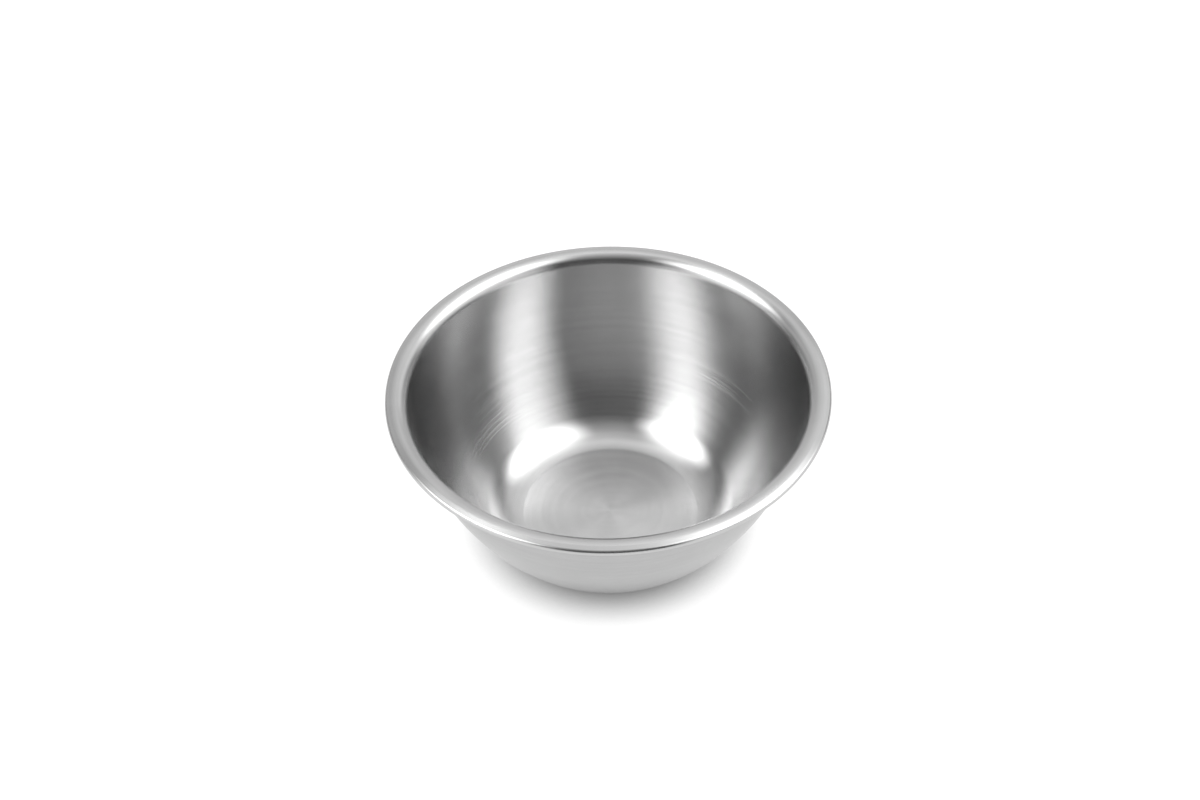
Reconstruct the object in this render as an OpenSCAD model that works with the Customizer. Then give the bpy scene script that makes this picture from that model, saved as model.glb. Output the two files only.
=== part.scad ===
// Prep bowl: one pressed and spun sheet of stainless steel, with a flat base, a bowed wall
// and a crowned lip whose edge is turned under. The bowl stands on z = 0, centred on the Z axis.
// Every bend of its section is tangent to the bends beside it.

/* [Bowl] */
// Diameter across the outside of the lip
bowl_d = 184.15; // [165:0.05:240]
// Height from the table to the crest of the lip
bowl_h = 76.2; // [60:0.1:90]
// Diameter of the flat base
base_d = 76.2; // [50:0.1:95]
// Thickness of the sheet
sheet_t = 0.5; // [0.4:0.05:0.9]

/* [Wall] */
// Degrees that the sheet turns up at the edge of the base, before the cove
heel_turn = 5; // [1:0.5:10]
// Radius of that short bend, on the outside
heel_r = 1.5; // [1:0.1:4]
// Radius of the cove between base and wall, on the outside
cove_r = 24; // [8:0.5:28]
// Radius of the wall's bow, on the outside
wall_r = 123; // [100:1:300]
// Share of the bow that belongs to the lower wall
lower_wall_share = 0.5; // [0.3:0.05:0.7]

/* [Lip] */
// Width of the lip in plan, from the mouth of the bowl to the outer edge
lip_w = 9.5; // [9.2:0.1:14]
// Radius of the shoulder where the wall turns out into the lip, on the upper skin
shoulder_r = 5.5; // [3:0.1:5.8]
// How far the outer edge of the lip lies below its crest
edge_fall = 0.6; // [0.1:0.05:0.9]
// Outer radius of the turned edge
edge_r = 1.4; // [1:0.05:1.8]
// Width of the hem that the turned edge leaves under the lip
hem_w = 1.6; // [0.5:0.1:2.5]

/* [Smoothness] */
// Straight steps in the section of the short bend at the edge of the base
heel_steps = 2; // [1:1:8]
// Straight steps in the section of the cove
cove_steps = 12; // [4:1:32]
// Straight steps in the section of each half of the wall
wall_steps = 8; // [4:1:24]
// Straight steps on each side of the lip's crest
shoulder_steps = 8; // [4:1:24]
// Straight steps on each side of the turned edge
edge_steps = 6; // [4:1:24]

/* [Hidden] */
$fn = 120;

bowl_r = bowl_d / 2;
base_r = base_d / 2;

// Directions in the section, as angles above the outward one
up = 90;
out = 0;
down = -90;

// Unit vector in a direction of the section
function toward(angle) = [cos(angle), sin(angle)];

// Direction of the line from one point to another
function angle_to(from, to) = atan2(to.y - from.y, to.x - from.x);

// The point at distance a_r from a and b_r from b, on the left of the way from a to b
function meeting(a, a_r, b, b_r) =
    let (
        span = norm(b - a),
        along = (a_r ^ 2 - b_r ^ 2 + span ^ 2) / (2 * span),
        aside = sqrt(a_r ^ 2 - along ^ 2),
        way = (b - a) / span
    )
    a + along * way + aside * [-way.y, way.x];

// Direction that the skin faces where the short bend meets the cove
heel_end = down + heel_turn;

// Centres of the section's bends, as [distance from the axis, height]
heel_at = [base_r, heel_r];
cove_at = heel_at + (heel_r - cove_r) * toward(heel_end);
shoulder_at = [bowl_r - lip_w + shoulder_r, bowl_h - shoulder_r];
edge_at = [bowl_r - edge_r, bowl_h - edge_fall - edge_r];
wall_at = meeting(cove_at, wall_r - cove_r, shoulder_at, wall_r - sheet_t + shoulder_r);

// Directions that the skin faces where the other bends meet
cove_end = angle_to(wall_at, cove_at);
wall_end = angle_to(wall_at, shoulder_at);
wall_split = cove_end + lower_wall_share * (wall_end - cove_end);
shoulder_start = angle_to(shoulder_at, wall_at);
lip_face = angle_to(shoulder_at, edge_at)
    + acos((shoulder_r - edge_r) / norm(edge_at - shoulder_at));
hem_face = lip_face + 2 * down;

// A skin is a list of [point, direction that it faces]. This is a bend of one, and a bend
// that follows another leaves out its first point.
function arc(at, r, from, to, steps, first = 0) = [
    for (i = [first : steps])
        let (angle = from + (to - from) * i / steps)
        [at + r * toward(angle), angle]
];

// The ring of sheet that lies behind a skin
module sheet_ring(skin) {
    behind = [for (p = skin) p[0] - sheet_t * toward(p[1])];
    last = len(skin) - 1;
    rotate_extrude()
        polygon(concat([for (p = skin) p[0]], [for (i = [last : -1 : 0]) behind[i]]));
}

// The flat disc that the bowl stands on
module bowl_floor() {
    color("gainsboro")
        cylinder(r = base_r, h = sheet_t);
}

// The short bend that bounds the floor, and the cove that rises from it
module base_cove() {
    color("silver")
        sheet_ring(concat(
            arc(heel_at, heel_r, down, heel_end, heel_steps),
            arc(cove_at, cove_r, heel_end, cove_end, cove_steps, 1)
        ));
}

// The lower part of the bowed wall, up from the cove
module lower_wall() {
    color("silver")
        sheet_ring(arc(wall_at, wall_r, cove_end, wall_split, wall_steps));
}

// The upper part of the bowed wall, up to the shoulder
module upper_wall() {
    color("silver")
        sheet_ring(arc(wall_at, wall_r, wall_split, wall_end, wall_steps));
}

// The shoulder that turns the sheet outwards over the crest, and the narrow flat beyond it
module rim_flange() {
    color("lightgray")
        sheet_ring(concat(
            arc(shoulder_at, shoulder_r, shoulder_start, up, shoulder_steps),
            arc(shoulder_at, shoulder_r, up, lip_face, shoulder_steps, 1),
            [[edge_at + edge_r * toward(lip_face), lip_face]]
        ));
}

// The edge of the lip, turned over and under, and the hem that it leaves
module rolled_edge() {
    hem_start = edge_at + edge_r * toward(hem_face);
    color("silver")
        sheet_ring(concat(
            arc(edge_at, edge_r, lip_face, out, edge_steps),
            arc(edge_at, edge_r, out, hem_face, edge_steps, 1),
            [[hem_start + hem_w * toward(hem_face + down), hem_face]]
        ));
}

bowl_floor();
base_cove();
lower_wall();
upper_wall();
rim_flange();
rolled_edge();
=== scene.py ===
"""Looks of a pressed and spun steel prep bowl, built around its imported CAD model.

The bowl is one sheet of stainless steel. Each zone of it is modelled the way the sheet is
formed: the sheet's cut edge is swept round the centre of each bend, and the section that this
draws is spun once round the bowl's axis. All lengths are in metres, in the frame of the CAD
model: the bowl stands on z = 0, its axis is Z, and the camera's side is towards -Y.
"""

import logging
import math
from dataclasses import dataclass, field
from enum import Enum
from typing import Callable, Dict, List, Optional, Sequence, Tuple, Union

import bmesh
import bpy
import numpy as np
from mathutils import Matrix, Vector


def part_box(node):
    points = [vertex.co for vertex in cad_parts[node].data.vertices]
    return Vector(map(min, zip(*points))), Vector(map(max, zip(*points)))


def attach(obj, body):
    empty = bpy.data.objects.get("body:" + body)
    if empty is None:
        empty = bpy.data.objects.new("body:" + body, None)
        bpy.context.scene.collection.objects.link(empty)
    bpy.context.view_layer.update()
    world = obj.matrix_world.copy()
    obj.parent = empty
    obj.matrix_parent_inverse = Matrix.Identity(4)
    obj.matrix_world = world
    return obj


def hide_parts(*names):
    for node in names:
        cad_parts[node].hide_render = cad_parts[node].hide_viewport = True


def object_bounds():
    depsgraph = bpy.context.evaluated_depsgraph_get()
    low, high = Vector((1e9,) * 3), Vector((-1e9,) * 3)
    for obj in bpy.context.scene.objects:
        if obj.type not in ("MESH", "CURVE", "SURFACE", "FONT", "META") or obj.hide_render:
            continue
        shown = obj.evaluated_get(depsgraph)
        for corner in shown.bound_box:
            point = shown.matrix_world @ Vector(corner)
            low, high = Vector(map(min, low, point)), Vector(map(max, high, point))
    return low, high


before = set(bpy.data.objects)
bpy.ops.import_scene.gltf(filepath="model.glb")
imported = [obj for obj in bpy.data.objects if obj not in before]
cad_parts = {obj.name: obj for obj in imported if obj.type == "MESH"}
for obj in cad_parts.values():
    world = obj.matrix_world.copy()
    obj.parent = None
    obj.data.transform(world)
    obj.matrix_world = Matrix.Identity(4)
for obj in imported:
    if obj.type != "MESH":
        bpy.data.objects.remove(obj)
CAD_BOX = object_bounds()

MM = 0.001
MICRON = 0.000001
FULL_TURN = 2 * math.pi
QUARTER_TURN = math.pi / 2
WHITE = (1.0, 1.0, 1.0, 1.0)
OUTSIDE = "outside"

log = logging.getLogger("prep_bowl")


class Slot(Enum):
    """The record's material slots."""

    FLOOR = "floor_steel"
    WALL = "wall_steel"
    LIP = "lip_steel"


# Shader maths


class ShaderSketch:
    """Draws one node tree by expressions instead of by hand."""

    def __init__(self, tree: bpy.types.NodeTree) -> None:
        """Starts with an empty tree.

        Args:
            tree: The node tree of a material or of the world.
        """
        tree.nodes.clear()
        self.tree = tree

    def node(
        self,
        kind: str,
        settings: Optional[Dict[str, object]] = None,
        inputs: Optional[Dict[Union[int, str], object]] = None,
        output: Union[int, str] = 0,
    ) -> "Signal":
        """Adds any node, sets it up and feeds its sockets.

        Args:
            kind: The node's type, such as ShaderNodeMath.
            settings: Its properties, such as a Math node's operation.
            inputs: Values or signals for its sockets, by place or by name.
            output: The socket that the answer reads, by place or by name.

        Returns:
            The chosen output as a signal.
        """
        made = self.tree.nodes.new(kind)
        for name, value in (settings or {}).items():
            setattr(made, name, value)
        for name, value in (inputs or {}).items():
            socket = self.pick(made.inputs, name)
            if isinstance(value, Signal):
                self.tree.links.new(value.socket, socket)
            else:
                socket.default_value = value
        return Signal(self, self.pick(made.outputs, output))

    def show(self, surface: "Signal", kind: str = "ShaderNodeOutputMaterial") -> None:
        """Ends the tree.

        Args:
            surface: The shader that it shows.
            kind: The type of the output node.
        """
        end = self.tree.nodes.new(kind)
        self.tree.links.new(surface.socket, end.inputs["Surface"])

    @staticmethod
    def pick(
        sockets: Sequence[bpy.types.NodeSocket], name: Union[int, str]
    ) -> bpy.types.NodeSocket:
        """Finds a socket that is in use.

        Args:
            sockets: A node's inputs or outputs.
            name: The socket's place or its name.

        Returns:
            The socket.
        """
        if isinstance(name, int):
            return sockets[name]
        return next(s for s in sockets if s.enabled and s.name == name)

    def ramp(
        self, value: "Signal", low: float, high: float, to_low: float = 0.0, to_high: float = 1.0
    ) -> "Signal":
        """Carries a value smoothly from one level to another between two limits.

        Args:
            value: The signal that is read.
            low: Where the change begins.
            high: Where the change ends.
            to_low: The level up to the first limit.
            to_high: The level past the second limit.

        Returns:
            The new level.
        """
        return self.node(
            "ShaderNodeMapRange",
            {"interpolation_type": "SMOOTHSTEP"},
            {
                "Value": value,
                "From Min": low,
                "From Max": high,
                "To Min": to_low,
                "To Max": to_high,
            },
            "Result",
        )

    def vector(self, x: "Number", y: "Number", z: "Number") -> "Signal":
        """Joins three numbers or signals into a vector."""
        return self.node("ShaderNodeCombineXYZ", inputs={"X": x, "Y": y, "Z": z})

    def noise(self, place: "Signal", detail: float) -> "Signal":
        """Reads soft noise at a place whose coordinates are already scaled."""
        return self.node(
            "ShaderNodeTexNoise", inputs={"Vector": place, "Scale": 1.0, "Detail": detail}
        )


class Signal:
    """A socket's value, which takes part in sums as a number does."""

    def __init__(self, sketch: ShaderSketch, socket: bpy.types.NodeSocket) -> None:
        """Wraps one output socket.

        Args:
            sketch: The tree that the socket is in.
            socket: The output.
        """
        self.sketch = sketch
        self.socket = socket

    def apply(self, operation: str, *values: "Number") -> "Signal":
        """Adds a Math node.

        Args:
            operation: The node's operation.
            values: What goes into its sockets, in order.

        Returns:
            The node's answer.
        """
        return self.sketch.node("ShaderNodeMath", {"operation": operation}, dict(enumerate(values)))

    def __add__(self, other: "Number") -> "Signal":
        """Sum."""
        return self.apply("ADD", self, other)

    def __radd__(self, other: "Number") -> "Signal":
        """Sum, number first."""
        return self.apply("ADD", other, self)

    def __sub__(self, other: "Number") -> "Signal":
        """Difference."""
        return self.apply("SUBTRACT", self, other)

    def __rsub__(self, other: "Number") -> "Signal":
        """Difference, number first."""
        return self.apply("SUBTRACT", other, self)

    def __mul__(self, other: "Number") -> "Signal":
        """Product."""
        return self.apply("MULTIPLY", self, other)

    def __rmul__(self, other: "Number") -> "Signal":
        """Product, number first."""
        return self.apply("MULTIPLY", other, self)

    def __truediv__(self, other: "Number") -> "Signal":
        """Quotient."""
        return self.apply("DIVIDE", self, other)

    def __abs__(self) -> "Signal":
        """Size without sign."""
        return self.apply("ABSOLUTE", self)

    def root(self) -> "Signal":
        """Square root."""
        return self.apply("SQRT", self)

    def largest(self, other: "Number") -> "Signal":
        """The larger of two values."""
        return self.apply("MAXIMUM", self, other)

    def dot(self, other: Vector) -> "Signal":
        """How far a vector reaches along another one."""
        return self.sketch.node(
            "ShaderNodeVectorMath",
            {"operation": "DOT_PRODUCT"},
            {0: self, 1: tuple(other)},
            "Value",
        )

    def parts(self) -> Tuple["Signal", "Signal", "Signal"]:
        """Splits a vector.

        Returns:
            Its x, y and z.
        """
        x = self.sketch.node("ShaderNodeSeparateXYZ", inputs={0: self}, output="X")
        split = x.socket.node
        return x, Signal(self.sketch, split.outputs["Y"]), Signal(self.sketch, split.outputs["Z"])


Number = Union[float, Signal]


# Finishes


@dataclass(frozen=True)
class Scuff:
    """A patch of the bowl where wiping has left light arcs.

    Attributes:
        bearing: Bearing of its middle, in degrees from the camera's side, growing to its right.
        reach: How far it reaches to either side, in degrees.
        height: Height of its middle over the table.
        rise: How far it reaches up and down.
        strength: How much rougher its arcs are.
        core: Share of its reach and of its rise that is at full strength.
    """

    bearing: float
    reach: float
    height: float
    rise: float
    strength: float
    core: float = 0.4

    def cover(self, sketch: ShaderSketch, x: Signal, y: Signal, z: Signal) -> Signal:
        """Draws the patch.

        Args:
            sketch: The material's tree.
            x: Place across the bowl.
            y: Place to the back of the bowl.
            z: Height over the table.

        Returns:
            The roughness that it adds to an arc, fading to its rim.
        """
        turn = math.radians(self.bearing)
        ahead = x * math.sin(turn) - y * math.cos(turn)
        aside = x * math.cos(turn) + y * math.sin(turn)
        off = abs(aside.apply("DEGREES", aside.apply("ARCTAN2", aside, ahead)))
        across = sketch.ramp(off, self.reach * self.core, self.reach, self.strength, 0.0)
        level = abs(z - self.height)
        return across * sketch.ramp(level, self.rise * self.core, self.rise, 1.0, 0.0)


@dataclass(frozen=True)
class Marks:
    """Noise that is fine along the section and long round the bowl.

    Attributes:
        pitch: Width of one mark.
        turns: How quickly the marks change on their way round the bowl.
        detail: How much finer noise rides on them.
    """

    pitch: float
    turns: float
    detail: float

    def over(
        self, sketch: ShaderSketch, along: Signal, round_x: Signal, round_y: Signal
    ) -> Signal:
        """Draws the marks.

        Args:
            sketch: The material's tree.
            along: Place along the section.
            round_x: How far the bowl's radius points across it there, from -1 to 1.
            round_y: How far it points to the back.

        Returns:
            The noise, about 0.5 on average.
        """
        lane = sketch.vector(along / self.pitch, round_x * self.turns, round_y * self.turns)
        return sketch.noise(lane, self.detail)


# Average of a noise
MIDDLE = 0.5
# Width of the broad marks, in widths of the fine ones
BROAD_PITCHES = 12
# The light arcs of a scuff, and the levels of their noise between which an arc rises
HAIRS = Marks(pitch=0.45 * MM, turns=1.1, detail=0.0)
HAIR_LIMITS = (0.6, 0.72)
# The duller patches
PATCH_SIZE = 18 * MM
PATCH_DETAIL = 2.0
# Shares of the patches, the broad marks and the fine marks in the metal's grey
PATCH_SHARE, BROAD_SHARE, FINE_SHARE = 0.45, 0.35, 0.2
# Levels of that mix between which the grey goes from dark to light
SHADE_LIMITS = (0.3, 0.7)
# Turn of the brushing against the tangent, which lays it round the bowl
BRUSHED_ROUND = 0.25


@dataclass(frozen=True)
class SpunSteel:
    """Stainless steel whose brush marks run round the bowl.

    Attributes:
        name: The material's name.
        slot: The record's slot. Not used.
        light: Grey of the clean metal, as a linear share of the light that it returns.
        dark: Grey of the duller patches.
        roughness: Roughness of the finish, mid-way over its play.
        roughness_play: How far the roughness wanders.
        anisotropy: How much wider the marks spread light across them than along them.
        mark_pitch: Width of the fine marks.
        mark_depth: Depth of the fine marks.
        mark_play: How far the fine marks change the roughness.
        outside_painted_shade: Painted shade, the share by which the outside skin's grey is darkened
            for the darker reflection of the shaded floor beside the bowl.
        scuffs: Patches where wiping has left light arcs.
    """

    name: str
    slot: Slot
    light: float
    dark: float
    roughness: float
    roughness_play: float
    anisotropy: float
    mark_pitch: float
    mark_depth: float
    mark_play: float = 0.02
    outside_painted_shade: float = 0.0
    scuffs: Tuple[Scuff, ...] = ()

    def material(self) -> bpy.types.Material:
        """Makes the finish.

        Returns:
            The material.
        """
        made = bpy.data.materials.new(self.name)
        made.use_nodes = True
        sketch = ShaderSketch(made.node_tree)
        place = sketch.node("ShaderNodeTexCoord", output="Object")
        x, y, z = place.parts()
        radius = (x * x + y * y).root().largest(MICRON)
        spot = (radius + z, x / radius, y / radius)
        fine = Marks(self.mark_pitch, turns=2.5, detail=2.0).over(sketch, *spot)
        broad_pitch = self.mark_pitch * BROAD_PITCHES
        broad = Marks(broad_pitch, turns=0.8, detail=1.0).over(sketch, *spot)
        area = sketch.vector(x / PATCH_SIZE, y / PATCH_SIZE, z / PATCH_SIZE)
        patches = sketch.noise(area, PATCH_DETAIL)
        hairs = sketch.ramp(HAIRS.over(sketch, *spot), *HAIR_LIMITS)
        worn = 0.0
        for scuff in self.scuffs:
            worn = worn + scuff.cover(sketch, x, y, z)

        shade = PATCH_SHARE * patches + BROAD_SHARE * broad + FINE_SHARE * fine
        outside = sketch.node("ShaderNodeAttribute", {"attribute_name": OUTSIDE}, output="Fac")
        # Painted shade: the outside skin's grey is darkened to stand in for the darker reflection
        # of the shaded floor beside the bowl.
        painted_shade_factor = 1.0 - self.outside_painted_shade * outside
        grey = sketch.ramp(shade, *SHADE_LIMITS, self.dark, self.light) * painted_shade_factor
        colour = sketch.node("ShaderNodeCombineColor", inputs={0: grey, 1: grey, 2: grey})
        roughness = (
            self.roughness
            + self.roughness_play * (broad - MIDDLE)
            + self.roughness_play * (patches - MIDDLE)
            + self.mark_play * (fine - MIDDLE)
            + hairs * worn
        )
        normal = sketch.node(
            "ShaderNodeBump",
            inputs={"Strength": 1.0, "Distance": 1.0, "Height": self.mark_depth * fine},
        )
        steel = sketch.node(
            "ShaderNodeBsdfPrincipled",
            inputs={
                "Base Color": colour,
                "Metallic": 1.0,
                "Roughness": roughness,
                "Normal": normal,
                "Anisotropic": self.anisotropy,
                "Anisotropic Rotation": BRUSHED_ROUND,
            },
        )
        sketch.show(steel)
        return made


FLOOR_FINISH = SpunSteel(
    name="spun_floor",
    slot=Slot.FLOOR,
    light=0.56,
    dark=0.51,
    roughness=0.18,
    roughness_play=0.03,
    anisotropy=1.0,
    mark_pitch=0.25 * MM,
    mark_depth=0.1 * MICRON,
)
WALL_FINISH = SpunSteel(
    name="spun_wall",
    slot=Slot.WALL,
    light=0.55,
    dark=0.5,
    roughness=0.2,
    roughness_play=0.02,
    anisotropy=0.98,
    mark_pitch=0.22 * MM,
    mark_depth=0.1 * MICRON,
    # Painted shade on the outside of the wall, for the darker reflection of the shaded floor.
    outside_painted_shade=0.15,
    scuffs=(
        Scuff(bearing=-121, reach=21, height=20 * MM, rise=7 * MM, strength=0.08),
        Scuff(bearing=127, reach=22, height=32 * MM, rise=4 * MM, strength=0.08),
    ),
)
LIP_FINISH = SpunSteel(
    name="polished_lip",
    slot=Slot.LIP,
    light=0.55,
    dark=0.5,
    roughness=0.21,
    roughness_play=0.02,
    anisotropy=0.95,
    mark_pitch=0.2 * MM,
    mark_depth=0.1 * MICRON,
)


# The section of the sheet


@dataclass(frozen=True)
class Bend:
    """One round bend of the section, in the plane of radius and height.

    The sheet lies between the bend's radius and that radius less the sheet's thickness.

    Attributes:
        centre: Radius and height of the bend's centre.
        radius: Radius of the skin that is further from the centre.
        start: Angle where the bend begins, 0 outwards and a quarter turn upwards.
        end: Angle where it ends.
        steps: Faces along it.
        run: Length of the flat that follows it.
    """

    centre: Vector
    radius: float
    start: float
    end: float
    steps: int
    run: float = 0.0

    @staticmethod
    def toward(angle: float) -> Vector:
        """Unit vector at an angle of the section."""
        return Vector((math.cos(angle), math.sin(angle)))

    def facing(self, radius: np.ndarray, height: np.ndarray) -> Tuple[np.ndarray, np.ndarray]:
        """Finds the skin's true direction at points of the sheet, on the bend or on its flat.

        Args:
            radius: Radius of each point.
            height: Height of each point.

        Returns:
            The parts, outwards and upwards, of the unit vectors away from the bend's centre.
        """
        angle = np.arctan2(height - self.centre.y, radius - self.centre.x)
        within = np.clip(angle, min(self.start, self.end), max(self.start, self.end))
        return np.cos(within), np.sin(within)


# Faces along each bend of the section
HEEL_STEPS = 4
COVE_STEPS = 24
WALL_STEPS = 28
SHOULDER_STEPS = 36
EDGE_STEPS = 40


@dataclass(frozen=True)
class BowlSection:
    """Driving sizes of the bowl's section, and the bends that follow from them.

    Attributes:
        radius: Radius of the bowl over its lip.
        height: Height of the bowl.
        base_radius: Radius of the flat base.
        thickness: Thickness of the sheet.
        heel_turn: How far the sheet turns up at the edge of the base, before the cove.
        heel_radius: Outer radius of that short bend.
        cove_radius: Outer radius of the cove, from the short bend to the wall.
        wall_radius: Outer radius of the wall's bow.
        lower_wall_share: Share of the bow that belongs to the lower wall.
        lip_width: Width of the lip, measured level, from the wall to the rim.
        shoulder_radius: Radius of the bend from the wall to the lip.
        edge_fall: How far the lip falls to its edge.
        edge_radius: Radius of the turned edge.
        hem_width: Width of the hem under the edge.
    """

    radius: float
    height: float
    base_radius: float
    thickness: float
    heel_turn: float = math.radians(5)
    heel_radius: float = 1.5 * MM
    cove_radius: float = 24 * MM
    wall_radius: float = 123 * MM
    lower_wall_share: float = 0.5
    lip_width: float = 9.5 * MM
    shoulder_radius: float = 5.5 * MM
    edge_fall: float = 0.6 * MM
    edge_radius: float = 1.4 * MM
    hem_width: float = 1.6 * MM

    @classmethod
    def from_frame(cls) -> "BowlSection":
        """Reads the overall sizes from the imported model.

        Returns:
            The section.
        """
        low, high = CAD_BOX
        floor_low, floor_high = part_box("bowl_floor")
        return cls(
            radius=round(high.x, 6),
            height=high.z - low.z,
            base_radius=round(floor_high.x, 6),
            thickness=floor_high.z - floor_low.z,
        )

    @property
    def heel_centre(self) -> Vector:
        """Centre of the short bend at the edge of the base."""
        return Vector((self.base_radius, self.heel_radius))

    @property
    def heel_end(self) -> float:
        """Angle where the short bend meets the cove."""
        return self.heel_turn - QUARTER_TURN

    @property
    def cove_centre(self) -> Vector:
        """Centre of the cove."""
        return self.heel_centre + (self.heel_radius - self.cove_radius) * Bend.toward(self.heel_end)

    @property
    def shoulder_centre(self) -> Vector:
        """Centre of the bend from the wall to the lip."""
        out = self.radius - self.lip_width + self.shoulder_radius
        return Vector((out, self.height - self.shoulder_radius))

    @property
    def edge_centre(self) -> Vector:
        """Centre of the turned edge."""
        return Vector(
            (self.radius - self.edge_radius, self.height - self.edge_fall - self.edge_radius)
        )

    @property
    def wall_centre(self) -> Vector:
        """Finds the centre of the wall's bow, which touches the cove and the shoulder.

        Returns:
            Its radius and height.
        """
        to_cove = self.wall_radius - self.cove_radius
        to_shoulder = self.wall_radius - self.thickness + self.shoulder_radius
        span = self.shoulder_centre - self.cove_centre
        along = (to_cove**2 - to_shoulder**2 + span.length_squared) / (2 * span.length)
        aside = math.sqrt(to_cove**2 - along**2)
        way = span.normalized()
        return self.cove_centre + along * way + aside * Vector((-way.y, way.x))

    @property
    def cove_end(self) -> float:
        """Angle where the cove meets the wall."""
        away = self.cove_centre - self.wall_centre
        return math.atan2(away.y, away.x)

    @property
    def wall_end(self) -> float:
        """Angle where the wall meets the shoulder."""
        away = self.shoulder_centre - self.wall_centre
        return math.atan2(away.y, away.x)

    @property
    def wall_split(self) -> float:
        """Angle where the lower wall meets the upper wall."""
        return self.cove_end + self.lower_wall_share * (self.wall_end - self.cove_end)

    @property
    def lip_facing(self) -> float:
        """Finds the angle that the lip's flat faces.

        Returns:
            The angle, 0 outwards and a quarter turn upwards.
        """
        span = self.edge_centre - self.shoulder_centre
        lean = math.acos((self.shoulder_radius - self.edge_radius) / span.length)
        return math.atan2(span.y, span.x) + lean

    def heel(self) -> Bend:
        """The short bend at the edge of the base."""
        return Bend(
            self.heel_centre, self.heel_radius, -QUARTER_TURN, self.heel_end, HEEL_STEPS
        )

    def cove(self) -> Bend:
        """The cove, from the short bend to the wall."""
        return Bend(self.cove_centre, self.cove_radius, self.heel_end, self.cove_end, COVE_STEPS)

    def lower_wall(self) -> Bend:
        """The lower half of the wall's bow."""
        return Bend(
            self.wall_centre, self.wall_radius, self.cove_end, self.wall_split, WALL_STEPS
        )

    def upper_wall(self) -> Bend:
        """The upper half of the wall's bow."""
        return Bend(
            self.wall_centre, self.wall_radius, self.wall_split, self.wall_end, WALL_STEPS
        )

    def shoulder(self) -> Bend:
        """Draws the bend from the wall to the lip, with the lip's flat after it.

        Returns:
            The bend, up to where the turned edge begins.
        """
        span = (self.edge_centre - self.shoulder_centre).length
        flat = math.sqrt(span**2 - (self.shoulder_radius - self.edge_radius) ** 2)
        return Bend(
            self.shoulder_centre,
            self.shoulder_radius,
            self.wall_end + math.pi,
            self.lip_facing,
            SHOULDER_STEPS,
            flat,
        )

    def edge(self) -> Bend:
        """Draws the turned edge, with the hem after it.

        Returns:
            The bend, which turns the sheet over and under.
        """
        return Bend(
            self.edge_centre,
            self.edge_radius,
            self.lip_facing,
            self.lip_facing - math.pi,
            EDGE_STEPS,
            self.hem_width,
        )


# Modelling


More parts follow.
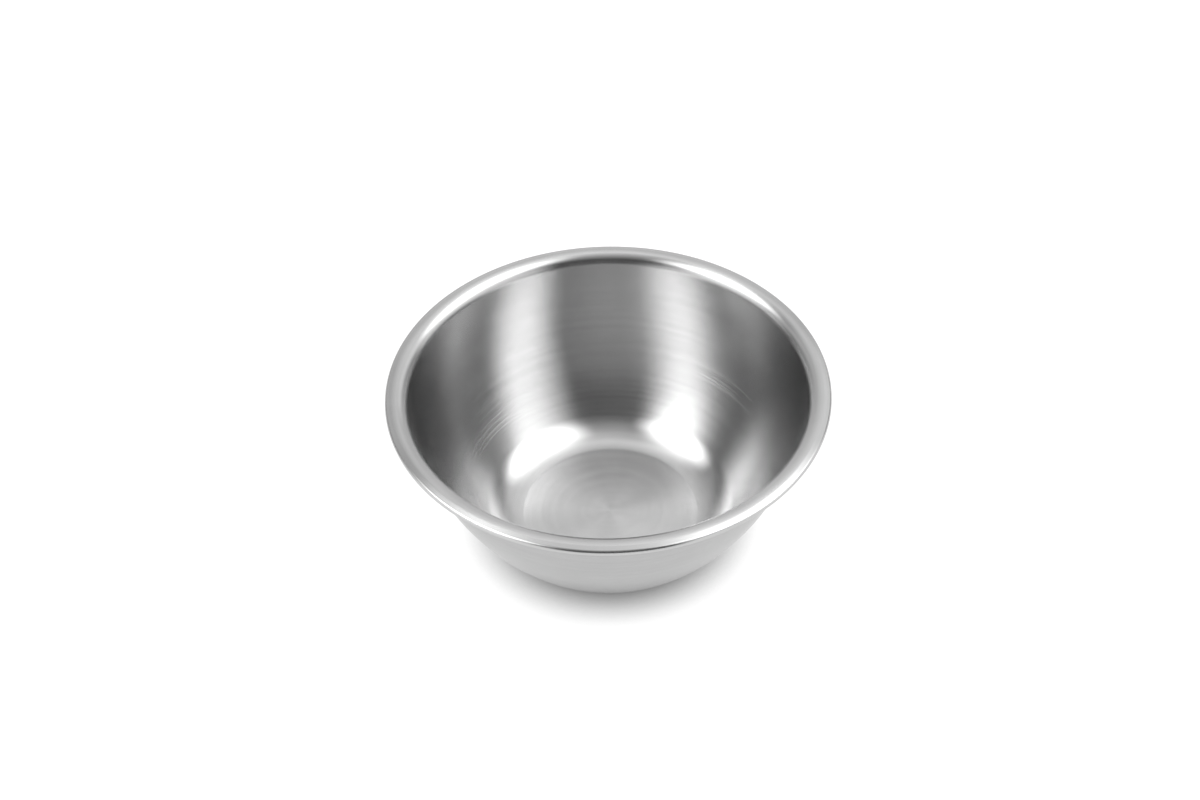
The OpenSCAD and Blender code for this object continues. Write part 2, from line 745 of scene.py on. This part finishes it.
class SheetRing:
    """Models one ring of bent sheet in edit mode, from its cut edge to a closed shell.

    Attributes:
        around: Faces round the bowl.
        weld: Gap under which two vertices are one.
        skin_lean: How far a face of a skin may lean from the skin's true direction.
        piece: The object, from when its cut edge stands.
    """

    around: int = 360
    weld: float = 0.1 * MICRON
    skin_lean: float = math.radians(45)
    piece: bpy.types.Object

    def __init__(self, name: str, thickness: float) -> None:
        """Notes what the ring is called and how thick its sheet is.

        Args:
            name: The piece's name.
            thickness: Thickness of the sheet.
        """
        self.name = name
        self.thickness = thickness

    @property
    def mesh(self) -> bpy.types.Mesh:
        """The piece's mesh."""
        return self.piece.data

    def stand_cut_edge(self, middle: Vector, facing: float) -> None:
        """Stands the sheet's cut edge in the plane of radius and height, ready to be swept.

        A square plane of the sheet's thickness is added beside the edge, and its far side is
        deleted.

        Args:
            middle: Radius and height of the middle of the sheet.
            facing: Angle from one skin to the other.
        """
        bpy.ops.object.select_all(action="DESELECT")
        ahead = Bend.toward(facing + QUARTER_TURN)
        centre = middle - ahead * self.thickness / 2
        bpy.ops.mesh.primitive_plane_add(
            size=self.thickness,
            location=(centre.x, 0, centre.y),
            rotation=(QUARTER_TURN, -facing, 0),
        )
        self.piece = bpy.context.active_object
        self.piece.name = self.name
        self.mesh.name = self.name
        bpy.ops.object.transform_apply(location=True, rotation=True, scale=True)
        bpy.ops.object.mode_set(mode="EDIT")
        self.pick_vertices(lambda place: (place - middle).dot(ahead) < -self.thickness / 2)
        bpy.ops.mesh.delete(type="VERT")
        bpy.ops.mesh.select_all(action="SELECT")

    def pick_vertices(self, wanted: Callable[[Vector], bool]) -> None:
        """Selects the vertices that pass a test, with the edges between them.

        Args:
            wanted: The test of a vertex's radius and height.
        """
        bpy.ops.mesh.select_all(action="DESELECT")
        bpy.ops.mesh.select_mode(type="VERT")
        sketch = bmesh.from_edit_mesh(self.mesh)
        for vertex in sketch.verts:
            vertex.select = bool(wanted(Vector((vertex.co.x, vertex.co.z))))
        sketch.select_flush_mode()
        bmesh.update_edit_mesh(self.mesh)

    def sweep(self, bend: Bend) -> None:
        """Sweeps the selected edge through a bend and along the flat after it.

        Args:
            bend: The bend, which begins where the edge is.
        """
        bpy.ops.mesh.spin(
            steps=bend.steps,
            angle=bend.end - bend.start,
            center=(bend.centre.x, 0, bend.centre.y),
            axis=(0, 1, 0),
        )
        if bend.run:
            turn = math.copysign(QUARTER_TURN, bend.end - bend.start)
            self.run_on(Bend.toward(bend.end + turn) * bend.run, 1)

    def run_on(self, way: Vector, cuts: int) -> None:
        """Draws the selected edge out straight.

        Args:
            way: Radius and height that it gains.
            cuts: Faces along it.
        """
        for _ in range(cuts):
            bpy.ops.mesh.extrude_region_move(
                TRANSFORM_OT_translate={"value": (way.x / cuts, 0, way.y / cuts)}
            )

    def keep_outline(self) -> None:
        """Leaves only the outline of the section, without its faces and inner edges."""
        bpy.ops.mesh.select_mode(type="FACE")
        bpy.ops.mesh.select_all(action="SELECT")
        bpy.ops.mesh.region_to_loop()
        bpy.ops.mesh.select_all(action="INVERT")
        bpy.ops.mesh.delete(type="EDGE")

    def open_at_axis(self) -> None:
        """Takes the outline's edge on the axis away, so that the spin closes it there."""
        self.pick_vertices(lambda place: place.x < self.weld)
        bpy.ops.mesh.select_mode(type="EDGE")
        bpy.ops.mesh.delete(type="EDGE_FACE")

    def spin_round(self) -> None:
        """Spins the outline once round the bowl's axis and closes the shell."""
        bpy.ops.mesh.select_mode(type="VERT")
        bpy.ops.mesh.select_all(action="SELECT")
        bpy.ops.mesh.spin(
            steps=self.around,
            angle=FULL_TURN,
            center=(0, 0, 0),
            axis=(0, 0, 1),
            use_auto_merge=True,
        )
        bpy.ops.mesh.select_all(action="SELECT")
        bpy.ops.mesh.remove_doubles(threshold=self.weld)
        bpy.ops.mesh.normals_make_consistent(inside=False)
        bpy.ops.object.mode_set(mode="OBJECT")

    def smooth(self, bend: Optional[Bend] = None) -> None:
        """Shades the skins along their true curve, so that no joint between two rings shows.

        The sheet's cut edges keep their own faces' normals, and so does a flat disc.

        Args:
            bend: The bend that the skins follow, or None for a flat.
        """
        bpy.ops.object.shade_smooth()
        spots = self.numbers(self.mesh.vertices, "co")[self.corner_vertices()]
        flat = np.repeat(self.numbers(self.mesh.polygons, "normal"), self.face_corners(), axis=0)
        if bend is None:
            self.mesh.normals_split_custom_set(flat)
            return
        radius = np.hypot(spots[:, 0], spots[:, 1])
        facing = bend.facing(radius, spots[:, 2])
        true = np.stack((*(facing[0] * spots[:, :2].T / radius), facing[1]), axis=1)
        lean = (true * flat).sum(axis=1, keepdims=True)
        on_skin = abs(lean) > math.cos(self.skin_lean)
        self.mesh.normals_split_custom_set(np.where(on_skin, true * np.sign(lean), flat))

    def mark_outside(self, bend: Bend) -> None:
        """Marks the skin that is further from the bend's centre, for the painted shade of the
        outside to read.

        Args:
            bend: The bend that the skins follow.
        """
        spots = self.numbers(self.mesh.vertices, "co")
        radius = np.hypot(spots[:, 0], spots[:, 1]) - bend.centre.x
        reach = np.hypot(radius, spots[:, 2] - bend.centre.y)
        outside = (reach > bend.radius - self.thickness / 2).astype(np.float32)
        self.mesh.attributes.new(OUTSIDE, "FLOAT", "POINT").data.foreach_set("value", outside)

    @staticmethod
    def numbers(items: bpy.types.bpy_prop_collection, name: str) -> np.ndarray:
        """Reads a vector of each item of a mesh.

        Args:
            items: The mesh's vertices or faces.
            name: The vector's name.

        Returns:
            One row for each item.
        """
        found = np.empty(len(items) * 3, np.float32)
        items.foreach_get(name, found)
        return found.reshape(-1, 3).astype(float)

    def corner_vertices(self) -> np.ndarray:
        """Reads which vertex each corner of the mesh's faces has.

        Returns:
            The vertices' numbers, corner by corner.
        """
        found = np.empty(len(self.mesh.loops), np.int32)
        self.mesh.loops.foreach_get("vertex_index", found)
        return found

    def face_corners(self) -> np.ndarray:
        """Reads how many corners each face has.

        Returns:
            One number for each face.
        """
        found = np.empty(len(self.mesh.polygons), np.int32)
        self.mesh.polygons.foreach_get("loop_total", found)
        return found


@dataclass
class SubAssembly:
    """A zone of the bowl: its section and its finish.

    Attributes:
        section: Sizes of the bowl's section.
        finish: The steel's finish.
        pieces: The finished pieces, with the CAD nodes that they stand for.
    """

    section: BowlSection
    finish: SpunSteel
    pieces: List[Tuple[bpy.types.Object, str]] = field(default_factory=list)

    def ring(self, name: str, node: str, bend: Bend) -> None:
        """Builds one ring of the sheet along a bend.

        Args:
            name: The piece's name.
            node: The CAD node that it stands for.
            bend: The bend that it follows.
        """
        ring = SheetRing(name, self.section.thickness)
        middle = bend.centre + Bend.toward(bend.start) * (bend.radius - self.section.thickness / 2)
        ring.stand_cut_edge(middle, bend.start)
        ring.sweep(bend)
        ring.keep_outline()
        ring.spin_round()
        ring.smooth(bend)
        ring.mark_outside(bend)
        self.pieces.append((ring.piece, node))

    def dress(self) -> None:
        """Gives the pieces their finish, rides them on the bowl and reports them."""
        material = self.finish.material()
        for piece, node in self.pieces:
            piece.data.materials.clear()
            piece.data.materials.append(material)
            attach(piece, "root")
            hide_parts(node)
            size = ", ".join(f"{length / MM:.2f}" for length in piece.dimensions)
            faces = len(piece.data.polygons)
            log.info("%s: %d faces, %s mm, %s", piece.name, faces, size, material.name)


@dataclass
class BowlFloor(SubAssembly):
    """The flat disc in the middle of the sheet.

    Attributes:
        finish: The steel's finish.
        rings: Faces from the axis to the edge.
    """

    finish: SpunSteel = FLOOR_FINISH
    rings: int = 20

    def build(self) -> None:
        """Builds the disc from the axis outwards."""
        disc = SheetRing("floor_disc", self.section.thickness)
        disc.stand_cut_edge(Vector((0, self.section.thickness / 2)), QUARTER_TURN)
        disc.run_on(Vector((self.section.base_radius, 0)), self.rings)
        disc.keep_outline()
        disc.open_at_axis()
        disc.spin_round()
        disc.smooth()
        self.pieces.append((disc.piece, "bowl_floor"))


@dataclass
class BowlWall(SubAssembly):
    """The bend out of the base, and the bowed wall.

    Attributes:
        finish: The steel's finish.
    """

    finish: SpunSteel = WALL_FINISH

    def build(self) -> None:
        """Builds the short bend at the floor's edge, the cove and the two halves of the wall."""
        self.ring("heel_ring", "base_cove", self.section.heel())
        self.ring("cove_ring", "base_cove", self.section.cove())
        self.ring("lower_wall_ring", "lower_wall", self.section.lower_wall())
        self.ring("upper_wall_ring", "upper_wall", self.section.upper_wall())


@dataclass
class BowlLip(SubAssembly):
    """The crowned lip and its turned edge.

    Attributes:
        finish: The steel's finish.
    """

    finish: SpunSteel = LIP_FINISH

    def build(self) -> None:
        """Builds the lip with its shoulder, and the edge with its hem."""
        self.ring("lip_ring", "rim_flange", self.section.shoulder())
        self.ring("turned_edge", "rolled_edge", self.section.edge())


# Studio


@dataclass(frozen=True)
class SoftBox:
    """A soft light that stands far off, square to the bowl.

    Attributes:
        name: What a photographer calls it.
        bearing: Bearing of its middle, in degrees from the camera's side, growing to its right.
        lift: Height of its middle over the horizon, in degrees.
        half_width: Half its width, as a share of its distance.
        half_height: Half its height, as a share of its distance.
        brightness: Brightness, where 1 is white.
        fade: Width of its soft edge, as a share of its distance.
        lean: How far its top leans to its left, in degrees.
    """

    name: str
    bearing: float
    lift: float
    half_width: float
    half_height: float
    brightness: float
    fade: float = 0.6
    lean: float = 0.0

    def glow(self, sketch: ShaderSketch, direction: Signal) -> Signal:
        """Draws the box in the world's shader.

        Args:
            sketch: The world's tree.
            direction: The direction of the room that is lit.

        Returns:
            The light that comes from it.
        """
        angles = (self.bearing, self.lift, self.lean)
        turn, rise, lean = (math.radians(angle) for angle in angles)
        level = Vector((math.cos(turn), math.sin(turn), 0))
        near = math.cos(rise)
        ahead = Vector((math.sin(turn) * near, -math.cos(turn) * near, math.sin(rise)))
        upright = ahead.cross(level)
        depth = direction.dot(ahead)
        across = abs(direction.dot(level * math.cos(lean) + upright * math.sin(lean)) / depth)
        along = abs(direction.dot(upright * math.cos(lean) - level * math.sin(lean)) / depth)
        half = self.fade / 2
        inside = sketch.ramp(across, self.half_width - half, self.half_width + half, 1.0, 0.0)
        within = sketch.ramp(along, self.half_height - half, self.half_height + half, 1.0, 0.0)
        return self.brightness * inside * within * depth.apply("GREATER_THAN", depth, 0.0)


@dataclass(frozen=True)
class Studio:
    """A plain pale floor in a soft studio.

    Attributes:
        boxes: The soft lights.
        room: Brightness of the room between them.
        ceiling: Brightness straight overhead.
        ceiling_from: Height where the ceiling begins, in degrees.
        ceiling_to: Height from which it is at its full brightness.
        back: Brightness that the wall behind the bowl adds.
        back_reach: How far round from the back it reaches on either side, in degrees.
        back_from: Height where the back wall begins to fade, in degrees.
        back_to: Height where it has gone.
        floor_radius: Radius of the floor.
        floor_sides: Sides of the floor's outline.
        floor_gap: How far the floor lies under the bowl, so that the two never coincide.
        floor_grey: Colour of the floor.
        floor_lift: What the camera and the steel see on top of the floor's own light.
        shadow_lift: What is left of that in the darkest shadow.
        shadow_reach: How far round a spot of the floor the bowl shades it.
        shadow_clear: Open share of that reach from which a spot is free of shadow.
        shadow_samples: How many ways the shadow looks for the bowl.
    """

    boxes: Tuple[SoftBox, ...]
    room: float = 0.01
    ceiling: float = 0.67
    ceiling_from: float = 30.0
    ceiling_to: float = 88.0
    back: float = 0.86
    back_reach: float = 98.0
    back_from: float = 40.0
    back_to: float = 70.0
    floor_radius: float = 3.0
    floor_sides: int = 128
    floor_gap: float = 0.02 * MM
    floor_grey: float = 0.2
    floor_lift: float = 0.88
    shadow_lift: float = 0.04
    shadow_reach: float = 22 * MM
    shadow_clear: float = 0.75
    shadow_samples: int = 16

    def build(self) -> None:
        """Builds the floor and lights the room."""
        self.lay_floor()
        self.light_room()

    def lay_floor(self) -> None:
        """Lays the floor."""
        bpy.ops.object.select_all(action="DESELECT")
        bpy.ops.mesh.primitive_circle_add(
            vertices=self.floor_sides,
            radius=self.floor_radius,
            fill_type="NGON",
            location=(0, 0, -self.floor_gap),
        )
        floor = bpy.context.active_object
        floor.name = "studio_floor"
        made = bpy.data.materials.new("studio_floor_paper")
        made.use_nodes = True
        sketch = ShaderSketch(made.node_tree)
        grey = (self.floor_grey,) * 3 + (1.0,)
        paper = sketch.node("ShaderNodeBsdfDiffuse", inputs={"Color": grey}, output="BSDF")
        seen = sketch.node("ShaderNodeLightPath", output="Is Camera Ray")
        mirrored = Signal(sketch, seen.socket.node.outputs["Is Glossy Ray"])
        opening = sketch.node(
            "ShaderNodeAmbientOcclusion",
            {"samples": self.shadow_samples},
            {"Distance": self.shadow_reach},
            "AO",
        )
        lit = sketch.ramp(opening, 0.0, self.shadow_clear, self.shadow_lift, self.floor_lift)
        lift = sketch.node(
            "ShaderNodeEmission", inputs={"Color": WHITE, "Strength": lit * seen.largest(mirrored)}
        )
        whole = sketch.node("ShaderNodeAddShader", inputs={0: paper, 1: lift})
        sketch.show(whole)
        floor.data.materials.append(made)

    def light_room(self) -> None:
        """Lights the bowl with the boxes, and shows the camera a white room."""
        world = bpy.data.worlds.new("studio")
        bpy.context.scene.world = world
        world.use_nodes = True
        sketch = ShaderSketch(world.node_tree)
        direction = sketch.node("ShaderNodeTexCoord", output="Generated")
        x, y, z = direction.parts()
        height = z.apply("DEGREES", z.apply("ARCSINE", z))
        round_back = abs(x.apply("DEGREES", x.apply("ARCTAN2", x, y)))
        ceiling = sketch.ramp(height, self.ceiling_from, self.ceiling_to, self.room, self.ceiling)
        back = self.back * sketch.ramp(round_back, 0.0, self.back_reach, 1.0, 0.0)
        light = ceiling + back * sketch.ramp(height, self.back_from, self.back_to, 1.0, 0.0)
        for box in self.boxes:
            light = light.largest(box.glow(sketch, direction))
            log.info("%s at %g degrees, brightness %g", box.name, box.bearing, box.brightness)
        room = sketch.node("ShaderNodeBackground", inputs={"Color": WHITE, "Strength": light})
        white = sketch.node("ShaderNodeBackground", inputs={"Color": WHITE, "Strength": 1.0})
        seen = sketch.node("ShaderNodeLightPath", output="Is Camera Ray")
        whole = sketch.node("ShaderNodeMixShader", inputs={0: seen, 1: room, 2: white})
        sketch.show(whole, "ShaderNodeOutputWorld")


STUDIO = Studio(
    boxes=(
        SoftBox(
            "left key",
            bearing=-77,
            lift=47.5,
            half_width=0.38,
            half_height=0.27,
            brightness=6.3,
            fade=0.65,
            lean=-9,
        ),
        SoftBox(
            "right key",
            bearing=90,
            lift=52.5,
            half_width=0.36,
            half_height=0.44,
            brightness=5.2,
            fade=0.7,
            lean=45,
        ),
        SoftBox(
            "left card",
            bearing=-65,
            lift=1.5,
            half_width=0.8,
            half_height=0.33,
            brightness=1.6,
            fade=1.0,
        ),
        SoftBox(
            "right card",
            bearing=74,
            lift=10,
            half_width=0.88,
            half_height=0.52,
            brightness=1.04,
            fade=0.55,
        ),
        SoftBox(
            "left sail",
            bearing=-124,
            lift=31,
            half_width=0.55,
            half_height=0.21,
            brightness=0.75,
            fade=0.44,
        ),
        SoftBox(
            "right sail",
            bearing=129,
            lift=34,
            half_width=0.52,
            half_height=0.25,
            brightness=1.16,
            fade=0.33,
        ),
        SoftBox(
            "back panel",
            bearing=150,
            lift=62.5,
            half_width=0.83,
            half_height=0.79,
            brightness=1.14,
            fade=1.44,
        ),
        SoftBox(
            "rear strip",
            bearing=180,
            lift=73,
            half_width=0.5,
            half_height=0.14,
            brightness=1.6,
            fade=0.3,
        ),
        SoftBox(
            "front strip",
            bearing=-10,
            lift=20,
            half_width=0.6,
            half_height=0.06,
            brightness=0.36,
            fade=0.29,
        ),
    )
)


@dataclass(frozen=True)
class PhotoCamera:
    """The photograph's camera.

    Attributes:
        aim: The point that it looks at.
        distance: How far from that point it stands.
        elevation: Its height over the horizon, in degrees.
        roll: How far it leans to the right, in degrees.
        focal_pixels: Its focal length in pixels of the photograph.
        image_width: Width of the photograph in pixels.
        sensor_width: Width of its sensor, in millimetres as its lens is.
    """

    aim: Tuple[float, float, float] = (-3.4 * MM, 0, 67.6 * MM)
    distance: float = 800 * MM
    elevation: float = 43.5
    roll: float = -1.37
    focal_pixels: float = 1925.0
    image_width: int = 1200
    sensor_width: float = 36.0

    def build(self) -> None:
        """Adds the camera and makes it the scene's."""
        lens = bpy.data.cameras.new("photo_camera")
        camera = bpy.data.objects.new("photo_camera", lens)
        bpy.context.scene.collection.objects.link(camera)
        lens.sensor_width = self.sensor_width
        lens.lens = self.focal_pixels / self.image_width * lens.sensor_width
        rise, lean = math.radians(self.elevation), math.radians(self.roll)
        back = Vector((0, -math.cos(rise), math.sin(rise)))
        level, upright = Vector((1, 0, 0)), Vector((0, math.sin(rise), math.cos(rise)))
        right = level * math.cos(lean) + upright * math.sin(lean)
        up = upright * math.cos(lean) - level * math.sin(lean)
        camera.matrix_world = Matrix.Translation(Vector(self.aim) + back * self.distance) @ (
            Matrix((right, up, back)).transposed().to_4x4()
        )
        bpy.context.scene.camera = camera
        log.info("camera %.0f mm away, lens %.2f mm", self.distance / MM, lens.lens)


def main() -> None:
    """Builds the bowl, the studio and the camera."""
    logging.basicConfig(level=logging.INFO, format="%(message)s")
    bpy.context.scene.view_settings.view_transform = "Standard"
    PhotoCamera().build()
    section = BowlSection.from_frame()
    for zone in (BowlFloor(section), BowlWall(section), BowlLip(section)):
        zone.build()
        zone.dress()
    STUDIO.build()


if __name__ == "__main__":
    main()
